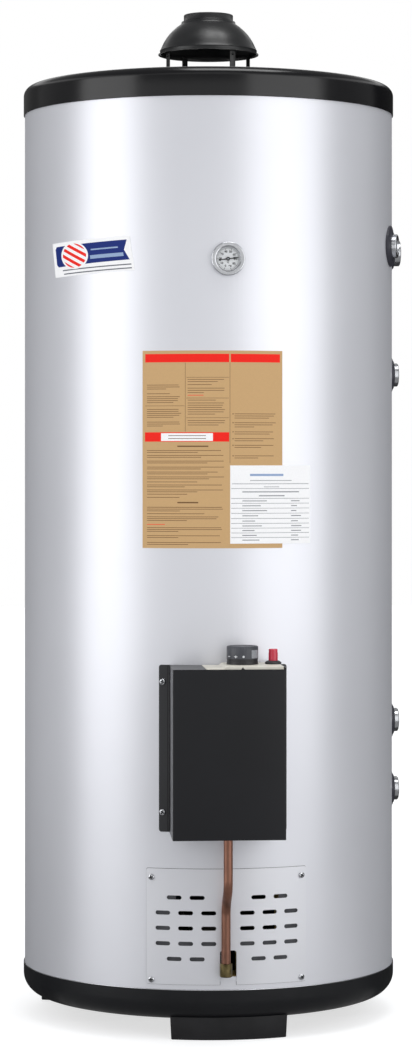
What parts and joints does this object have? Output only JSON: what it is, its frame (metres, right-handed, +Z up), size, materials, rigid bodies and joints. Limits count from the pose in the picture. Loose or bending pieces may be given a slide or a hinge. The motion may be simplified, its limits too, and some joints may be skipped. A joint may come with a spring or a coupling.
{
  "type": "tank water heater",
  "caption": "Floor-standing gas storage water heater with silver jacket, black lid and base, draught hood, side pipe connections, dial thermometer and covered gas control.",
  "frame": {"origin": "on the tank's vertical axis at floor level, under the feet", "axes": "+Z up along the tank's axis, -Y to the front with the gas control, +X to the right with the side connections"},
  "size_m": [0.6132, 0.7068, 1.614],
  "materials": {
    "jacket_silver": "satin",
    "plate_silver": "satin",
    "lid_black": "gloss",
    "base_black": "satin",
    "foot_black": "matte",
    "hood_black": "satin",
    "tank_enamel": "satin",
    "flue_steel": "satin",
    "insulation_foam": "matte",
    "zinc_steel": "satin",
    "magnesium": "satin",
    "rosette_black": "satin",
    "bezel_chrome": "polished",
    "dial_white": "satin",
    "needle_black": "satin",
    "gauge_glass": "polished",
    "cover_black": "satin",
    "valve_aluminium": "satin",
    "valve_cream": "satin",
    "knob_grey": "satin",
    "igniter_black": "satin",
    "button_red": "gloss",
    "pipe_copper": "satin",
    "brass_fitting": "satin",
    "burner_steel": "matte"
  },
  "bodies": {
    "root": {"base_pan": "base_black", "foot_front": "foot_black", "foot_right": "foot_black", "foot_left": "foot_black", "jacket": "jacket_silver", "top_lid": "lid_black", "draft_hood": "hood_black", "hood_leg_1": "hood_black", "hood_leg_2": "hood_black", "hood_leg_3": "hood_black", "hood_leg_4": "hood_black", "tank_shell": "tank_enamel", "tank_top_head": "tank_enamel", "tank_bottom_head": "tank_enamel", "flue_tube": "flue_steel", "flue_baffle": "flue_steel", "foam_insulation": "insulation_foam", "anode_cap": "zinc_steel", "anode_rod": "magnesium", "port_socket_1": "zinc_steel", "port_socket_2": "zinc_steel", "port_socket_3": "zinc_steel", "port_socket_4": "zinc_steel", "port_socket_5": "zinc_steel", "port_rosette_1": "rosette_black", "port_rosette_2": "rosette_black", "port_rosette_3": "rosette_black", "port_rosette_4": "rosette_black", "port_rosette_5": "rosette_black", "thermometer_case": "bezel_chrome", "thermometer_dial": "dial_white", "thermometer_glass": "gauge_glass", "thermometer_pocket": "brass_fitting", "vent_plate": "plate_silver", "vent_screw_1": "zinc_steel", "vent_screw_2": "zinc_steel", "vent_screw_3": "zinc_steel", "vent_screw_4": "zinc_steel", "cover_screw_1": "zinc_steel", "cover_screw_2": "zinc_steel", "cover_screw_3": "zinc_steel", "cover_screw_4": "zinc_steel", "control_cover": "cover_black", "gas_valve_body": "valve_aluminium", "valve_top_cover": "valve_cream", "pipe_nut": "brass_fitting", "gas_inlet_fitting": "brass_fitting", "temperature_probe": "pipe_copper", "igniter_housing": "igniter_black", "burner": "burner_steel", "burner_bracket": "flue_steel", "pilot_burner": "zinc_steel", "thermocouple": "pipe_copper", "burner_gas_pipe": "pipe_copper", "burner_elbow": "brass_fitting"},
    "stem": {"knob_stem": "zinc_steel"},
    "knob": {"thermostat_knob": "knob_grey"},
    "button": {"igniter_button": "button_red"},
    "needle": {"thermometer_needle": "needle_black"}
  },
  "joints": [
    {"name": "stem_press", "type": "slide", "parent": "root", "child": "stem", "axis": [0, 0, -1], "range_m": [0, 0.004], "stiffness_N_per_m": 1200, "springref_m": -0.006},
    {"name": "knob_turn", "type": "hinge", "parent": "stem", "child": "knob", "pos_m": [0.01667, -0.34547, 0.597], "axis": [0, 0, 1], "range_deg": [0, 240]},
    {"name": "button_press", "type": "slide", "parent": "root", "child": "button", "axis": [0, 0, -1], "range_m": [0, 0.006], "stiffness_N_per_m": 800, "springref_m": -0.004},
    {"name": "needle_turn", "type": "hinge", "parent": "root", "child": "needle", "pos_m": [0, -0.3, 1.198], "axis": [0, -1, 0], "range_deg": [-81, 243], "stiffness_Nm_per_rad": 0.0002}
  ]
}
